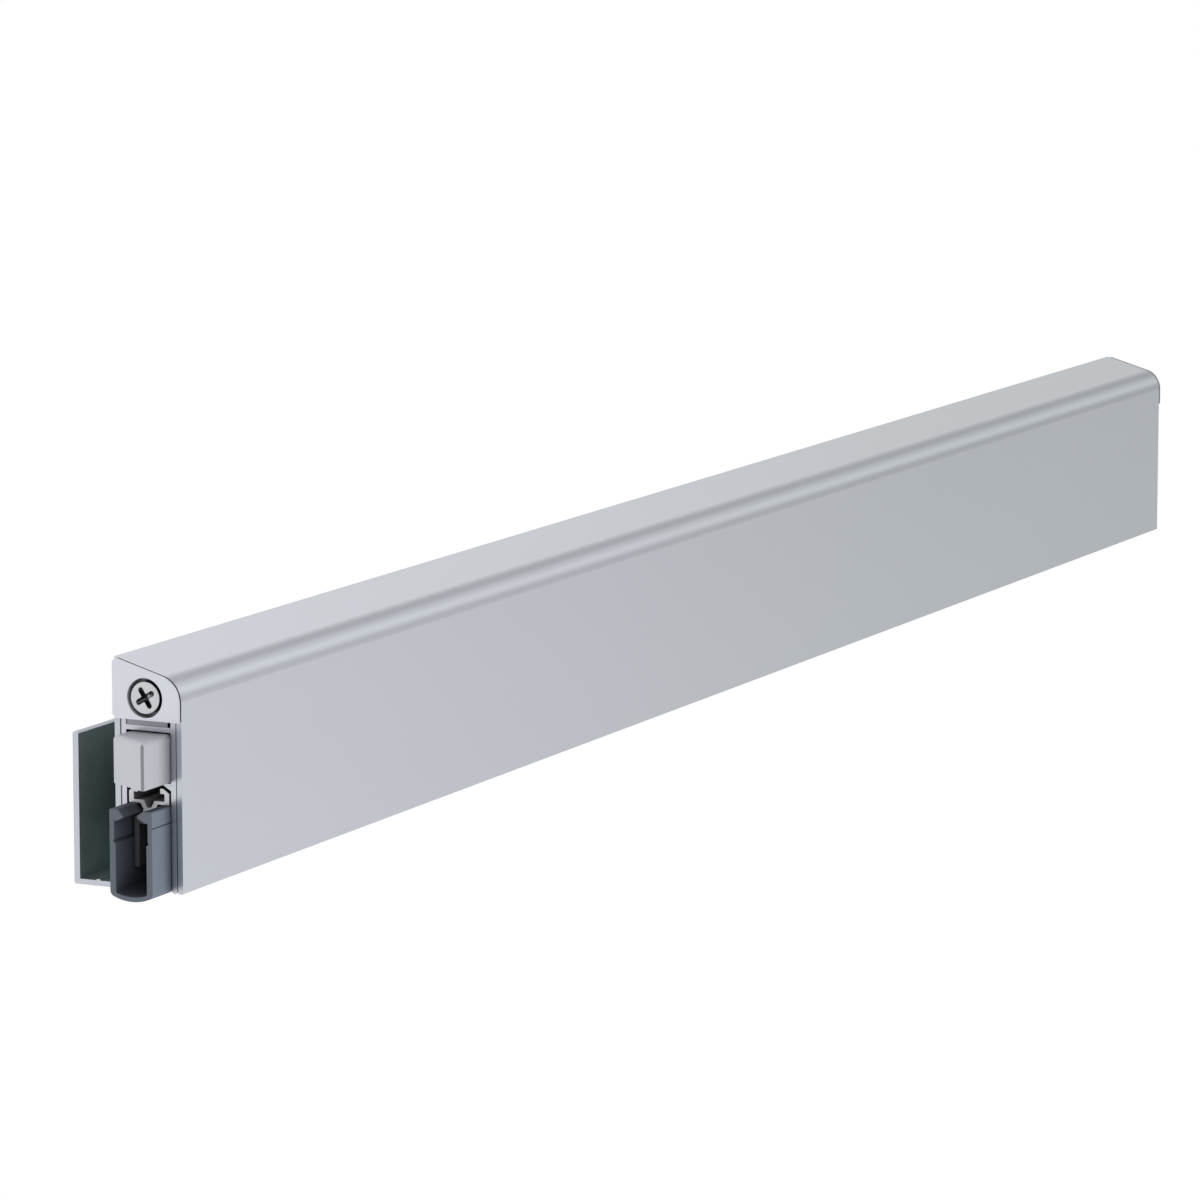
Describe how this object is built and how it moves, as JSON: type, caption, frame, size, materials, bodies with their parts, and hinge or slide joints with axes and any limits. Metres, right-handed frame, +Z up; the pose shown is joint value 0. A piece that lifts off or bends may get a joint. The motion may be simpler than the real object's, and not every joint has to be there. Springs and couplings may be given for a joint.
{
  "type": "automatic door bottom seal",
  "caption": "Drop-down door bottom seal in an aluminium channel for a glass door leaf; a plunger at the hinge end lowers a rubber profile to the floor.",
  "frame": {"origin": "middle of the length, under the middle of the glass, on the rib that the glass edge stands on", "axes": "+X along the seal from the hinge end with the plunger to the far end, +Y from the cover through the housing to the glass, +Z up"},
  "size_m": [0.5241, 0.0239, 0.0456],
  "materials": {
    "anodised_channel": "natural anodised, fine die lines along the length",
    "anodised_housing": "natural anodised, fine die lines along the length",
    "anodised_cover": "natural anodised, satin",
    "cap_metal": "satin, sawn and deburred",
    "screw_steel": "bright zinc",
    "rivet_aluminium": "plain",
    "inner_plastic": "black, moulded",
    "plated_steel": "zinc plated",
    "spring_steel": "rolled strip",
    "plunger_plastic": "light grey, moulded",
    "rod_aluminium": "drawn",
    "bar_aluminium": "mill finish",
    "seal_rubber": "dark blue grey, matt"
  },
  "bodies": {
    "frame": {"glass_channel": "anodised_channel", "seal_housing": "anodised_housing", "cover_profile": "anodised_cover", "end_cap_near": "cap_metal", "end_cap_far": "cap_metal", "cap_screw_near": "screw_steel", "cap_screw_far": "screw_steel", "channel_rivets": "rivet_aluminium", "anchor_near": "inner_plastic", "anchor_far": "inner_plastic", "anchor_rivets": "plated_steel", "anchor_pins": "plated_steel", "leaf_spring_near": "spring_steel", "leaf_spring_far": "spring_steel"},
    "plunger": {"release_plunger": "plunger_plastic", "adjusting_spindle": "plated_steel", "lock_nut": "plated_steel", "rod_end": "inner_plastic", "push_rod": "rod_aluminium", "rod_rivets": "plated_steel", "slider_near": "inner_plastic", "slider_far": "inner_plastic"},
    "drop": {"drop_bar": "bar_aluminium", "seal_profile": "seal_rubber", "hanger_near": "inner_plastic", "hanger_far": "inner_plastic", "hanger_rivets": "plated_steel", "seal_clip_near": "inner_plastic", "seal_clip_far": "inner_plastic"}
  },
  "joints": [
    {"name": "drop_slide", "type": "slide", "parent": "frame", "child": "drop", "axis": [0, 0, -1], "range_m": [0, 0.012], "stiffness_N_per_m": 120, "springref_m": -0.012, "deforming": ["leaf_spring_near", "leaf_spring_far"]},
    {"name": "plunger_slide", "type": "slide", "parent": "frame", "child": "plunger", "axis": [1, 0, 0], "range_m": [0, 0.007]}
  ],
  "couplings": [
    {"joint": "plunger_slide", "follows": "drop_slide", "ratio": 0.58333}
  ]
}
